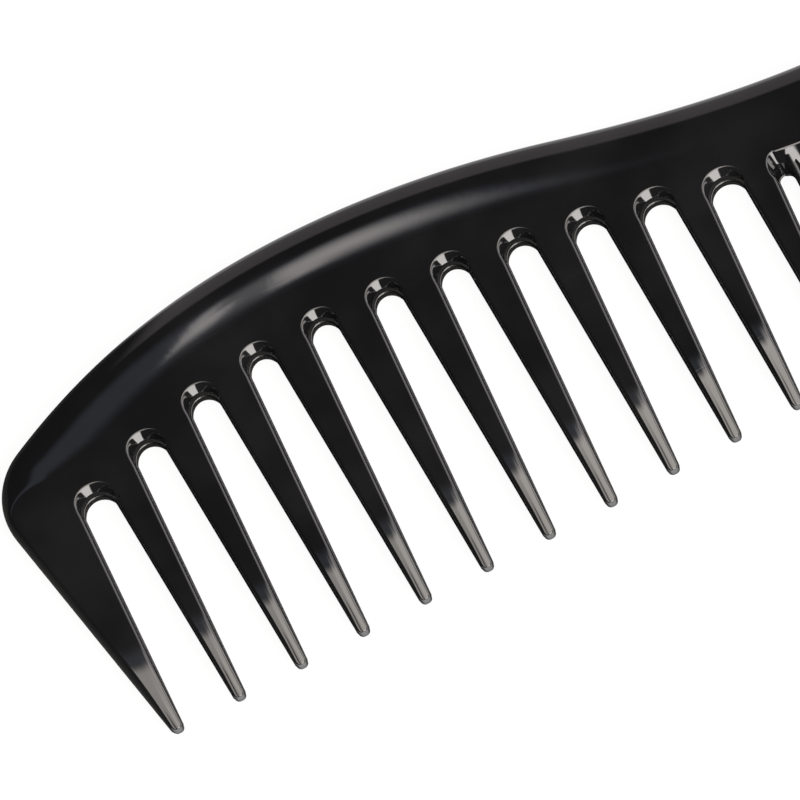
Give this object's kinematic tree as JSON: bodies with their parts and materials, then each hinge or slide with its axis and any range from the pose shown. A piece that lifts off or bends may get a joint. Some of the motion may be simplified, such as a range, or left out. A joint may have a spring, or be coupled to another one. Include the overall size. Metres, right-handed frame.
{
  "type": "wide tooth comb",
  "caption": "Glossy black one-piece hair comb with a double-humped back: long wide-set tapered teeth on one half, fine teeth on the other, and a slanted guard tooth at each end.",
  "frame": {"origin": "centre of the comb's length and width, on the plane that its lower face rests on", "axes": "+X along the comb from the wide teeth to the fine teeth, +Y from the tooth tips to the back, +Z through the thickness, up from the resting face"},
  "size_m": [0.2158, 0.045, 0.0045],
  "materials": {
    "black_plastic": "polished glossy black moulded plastic"
  },
  "bodies": {
    "root": {"spine": "black_plastic", "guard_tooth_wide_end": "black_plastic", "wide_tooth_02": "black_plastic", "wide_tooth_03": "black_plastic", "wide_tooth_04": "black_plastic", "wide_tooth_05": "black_plastic", "wide_tooth_06": "black_plastic", "wide_tooth_07": "black_plastic", "wide_tooth_08": "black_plastic", "wide_tooth_09": "black_plastic", "wide_tooth_10": "black_plastic", "wide_tooth_11": "black_plastic", "wide_tooth_12": "black_plastic", "fine_tooth_01": "black_plastic", "fine_tooth_02": "black_plastic", "fine_tooth_03": "black_plastic", "fine_tooth_04": "black_plastic", "fine_tooth_05": "black_plastic", "fine_tooth_06": "black_plastic", "fine_tooth_07": "black_plastic", "fine_tooth_08": "black_plastic", "fine_tooth_09": "black_plastic", "fine_tooth_10": "black_plastic", "fine_tooth_11": "black_plastic", "fine_tooth_12": "black_plastic", "fine_tooth_13": "black_plastic", "fine_tooth_14": "black_plastic", "fine_tooth_15": "black_plastic", "fine_tooth_16": "black_plastic", "fine_tooth_17": "black_plastic", "fine_tooth_18": "black_plastic", "fine_tooth_19": "black_plastic", "fine_tooth_20": "black_plastic", "fine_tooth_21": "black_plastic", "fine_tooth_22": "black_plastic", "fine_tooth_23": "black_plastic", "fine_tooth_24": "black_plastic", "fine_tooth_25": "black_plastic", "fine_tooth_26": "black_plastic", "fine_tooth_27": "black_plastic", "fine_tooth_28": "black_plastic", "fine_tooth_29": "black_plastic", "fine_tooth_30": "black_plastic", "fine_tooth_31": "black_plastic", "fine_tooth_32": "black_plastic", "fine_tooth_33": "black_plastic", "fine_tooth_34": "black_plastic", "fine_tooth_35": "black_plastic", "fine_tooth_36": "black_plastic", "fine_tooth_37": "black_plastic", "fine_tooth_38": "black_plastic", "fine_tooth_39": "black_plastic", "fine_tooth_40": "black_plastic", "fine_tooth_41": "black_plastic", "fine_tooth_42": "black_plastic", "fine_tooth_43": "black_plastic", "fine_tooth_44": "black_plastic", "fine_tooth_45": "black_plastic", "fine_tooth_46": "black_plastic", "guard_tooth_fine_end": "black_plastic"}
  },
  "joints": []
}
